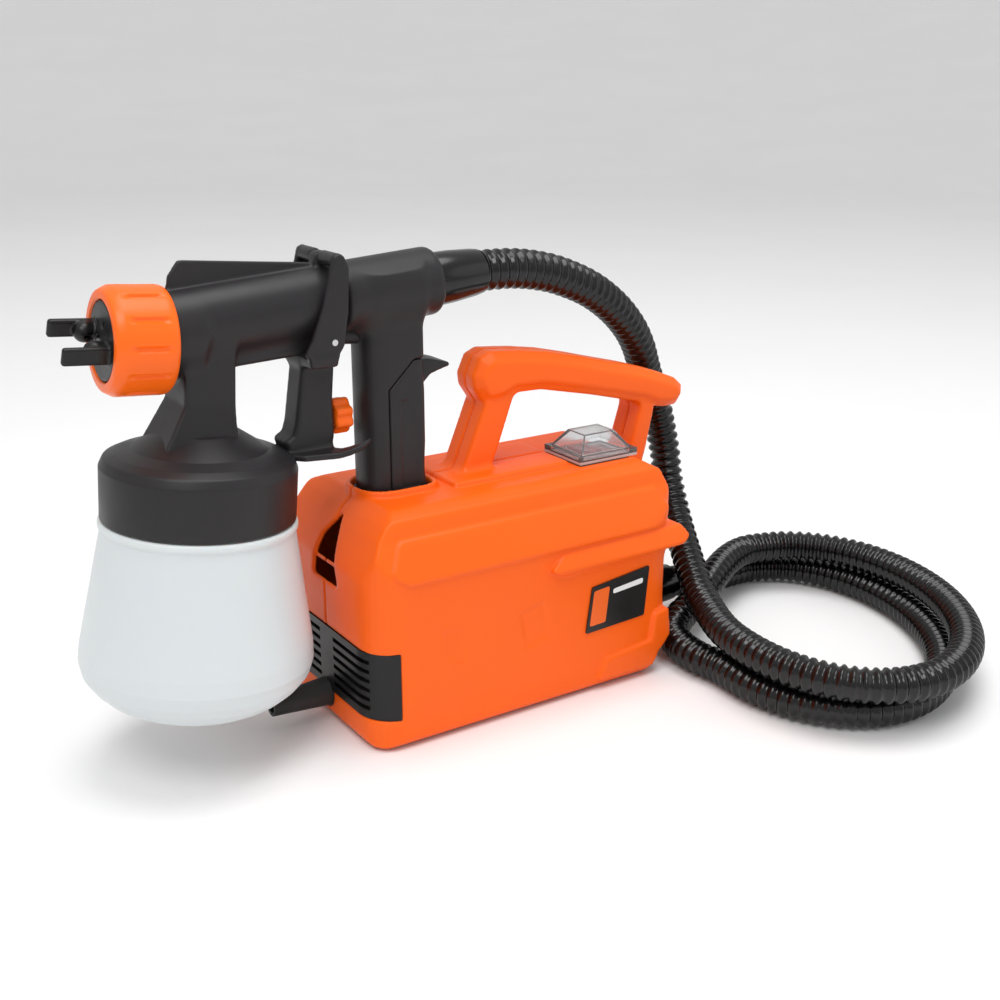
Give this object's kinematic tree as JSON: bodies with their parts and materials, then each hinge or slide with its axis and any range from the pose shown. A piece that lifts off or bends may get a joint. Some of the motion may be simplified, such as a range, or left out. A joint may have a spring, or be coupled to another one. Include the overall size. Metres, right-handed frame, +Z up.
{
  "type": "airless paint sprayer",
  "caption": "Paint sprayer with a floor-standing turbine base and carrying handle, a coiled corrugated air hose and a trigger gun with a paint cup docked in the base.",
  "frame": {"origin": "under the middle of the whole sprayer without its hose, on the floor", "axes": "+X from the gun's nose towards the base's rear, +Z up, -Y is the side with the label"},
  "size_m": [0.5273, 0.2658, 0.2635],
  "materials": {
    "housing_orange": "fine satin texture",
    "nut_orange": "smooth",
    "grey_plastic": "soft satin",
    "grille_black": "satin",
    "filter_foam": "open foam",
    "hose_black": "corrugated, glossy",
    "rubber_black": "smooth",
    "clear_cover": "clear plastic",
    "switch_red": "smooth",
    "switch_black": "smooth",
    "label_black": "printed foil",
    "cup_white": "translucent",
    "tube_white": "smooth",
    "steel": "turned",
    "aluminium": "turned",
    "brass": "stamped",
    "copper": "wound enamelled wire",
    "laminations": "stacked sheet",
    "fan_plastic": "moulded",
    "carbon": "pressed"
  },
  "bodies": {
    "base": {"left_housing": "housing_orange", "right_housing": "housing_orange", "housing_screws": "steel", "rubber_feet": "rubber_black", "intake_grille": "grille_black", "intake_filter": "filter_foam", "gun_dock": "housing_orange", "switch_body": "switch_black", "switch_cover": "clear_cover", "cord_gland": "rubber_black", "outlet_socket": "grey_plastic", "rating_label": "label_black", "fan_housing": "fan_plastic", "motor_stator": "laminations", "field_coils": "copper", "carbon_brushes": "carbon", "brush_holders": "brass", "front_bearing": "steel", "rear_bearing": "steel", "motor_frame": "aluminium", "air_duct": "fan_plastic", "air_hose": "hose_black", "hose_base_cuff": "grey_plastic"},
    "rotor": {"impeller": "fan_plastic", "armature": "laminations", "motor_shaft": "steel", "commutator": "copper"},
    "rocker": {"switch_rocker": "switch_red"},
    "gun": {"front_body": "grey_plastic", "rear_body": "grey_plastic", "grip_insert": "grey_plastic", "body_seal": "rubber_black", "cup_lid": "grey_plastic", "lid_gasket": "tube_white", "pickup_tube": "tube_white", "needle_guide": "grey_plastic", "needle_packing": "tube_white", "needle_spring": "steel", "fluid_nozzle": "aluminium", "hinge_pin": "steel", "hose_gun_cuff": "hose_black"},
    "needle_rod": {"needle": "steel", "link_pins": "steel"},
    "trigger_lever": {"trigger": "grey_plastic"},
    "flow_control": {"flow_knob": "nut_orange", "flow_screw": "steel"},
    "spray_cap": {"air_cap": "grey_plastic"},
    "ring_nut": {"cap_nut": "nut_orange"},
    "cup": {"paint_cup": "cup_white"}
  },
  "joints": [
    {"name": "gun_lift", "type": "slide", "parent": "base", "child": "gun", "axis": [0, 0, 1], "range_m": [0, 0.06]},
    {"name": "trigger_pull", "type": "hinge", "parent": "gun", "child": "trigger_lever", "pos_m": [-0.0511, 0, 0.2596], "axis": [0, -1, 0], "range_deg": [0, 3.1], "stiffness_Nm_per_rad": 1.2, "springref_deg": -6.88},
    {"name": "needle_slide", "type": "slide", "parent": "gun", "child": "needle_rod", "axis": [0.9963, 0, -0.0854], "range_m": [0, 0.0023]},
    {"name": "flow_knob_turn", "type": "hinge", "parent": "trigger_lever", "child": "flow_control", "pos_m": [-0.0491, 0, 0.1755], "axis": [1, 0, 0], "range_deg": [-180, 180]},
    {"name": "cap_turn", "type": "hinge", "parent": "gun", "child": "spray_cap", "pos_m": [-0.1659, 0, 0.2288], "axis": [0.9963, 0, -0.0854], "range_deg": [0, 90]},
    {"name": "nut_turn", "type": "hinge", "parent": "gun", "child": "ring_nut", "pos_m": [-0.15594, 0, 0.22795], "axis": [0.9963, 0, -0.0854], "range_deg": [-120, 0]},
    {"name": "cup_turn", "type": "hinge", "parent": "gun", "child": "cup", "pos_m": [-0.12457, 0, 0.13493], "axis": [0.0854, 0, 0.9963], "range_deg": [0, 90]},
    {"name": "switch_rock", "type": "hinge", "parent": "base", "child": "rocker", "pos_m": [0.1159, -0.012, 0.13], "axis": [0, -1, 0], "range_deg": [0, 16]},
    {"name": "rotor_spin", "type": "hinge", "parent": "base", "child": "rotor", "pos_m": [0.0529, 0, 0.055], "axis": [1, 0, 0], "continuous": true}
  ],
  "couplings": [
    {"joint": "needle_slide", "follows": "trigger_pull", "m_per_rad": 0.0405}
  ]
}
